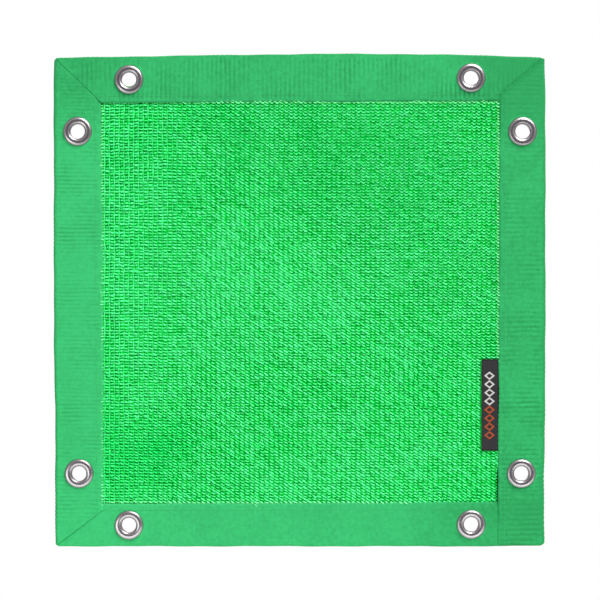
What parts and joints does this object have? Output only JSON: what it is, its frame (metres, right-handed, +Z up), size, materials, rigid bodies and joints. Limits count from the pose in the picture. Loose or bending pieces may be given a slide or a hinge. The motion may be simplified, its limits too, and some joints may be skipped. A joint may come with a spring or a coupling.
{
  "type": "shade cloth panel",
  "caption": "Square panel of knitted shade cloth, its edge bound in a folded woven tape, with two-part metal eyelets near the corners for hanging or lacing and a small sewn-in label.",
  "frame": {"origin": "halfway between the two eyelets of the top side, in the middle of the cloth's thickness", "axes": "+Z up, +X to the right seen from the front, +Y towards the back through the cloth"},
  "size_m": [0.405, 0.0067, 0.405],
  "materials": {
    "knitted_cloth": "satin",
    "woven_tape": "matte",
    "sewing_thread": "satin",
    "nickel_plate": "polished",
    "woven_label": "matte"
  },
  "bodies": {
    "panel": {"cloth": "knitted_cloth", "tape_top": "woven_tape", "tape_right": "woven_tape", "tape_bottom": "woven_tape", "tape_left": "woven_tape", "needle_thread_top": "sewing_thread", "needle_thread_right": "sewing_thread", "needle_thread_bottom": "sewing_thread", "needle_thread_left": "sewing_thread", "bobbin_thread_top": "sewing_thread", "bobbin_thread_right": "sewing_thread", "bobbin_thread_bottom": "sewing_thread", "bobbin_thread_left": "sewing_thread", "eyelet_top_left": "nickel_plate", "eyelet_top_right": "nickel_plate", "eyelet_right_upper": "nickel_plate", "eyelet_right_lower": "nickel_plate", "eyelet_bottom_right": "nickel_plate", "eyelet_bottom_left": "nickel_plate", "eyelet_left_lower": "nickel_plate", "eyelet_left_upper": "nickel_plate", "washer_top_left": "nickel_plate", "washer_top_right": "nickel_plate", "washer_right_upper": "nickel_plate", "washer_right_lower": "nickel_plate", "washer_bottom_right": "nickel_plate", "washer_bottom_left": "nickel_plate", "washer_left_lower": "nickel_plate", "washer_left_upper": "nickel_plate"},
    "flap": {"label": "woven_label"}
  },
  "joints": [
    {"name": "label_hinge", "type": "hinge", "parent": "panel", "child": "flap", "pos_m": [0.1636, -0.0014, -0.26975], "axis": [0, 0, 1], "range_deg": [0, 170], "stiffness_Nm_per_rad": 0.0002}
  ]
}
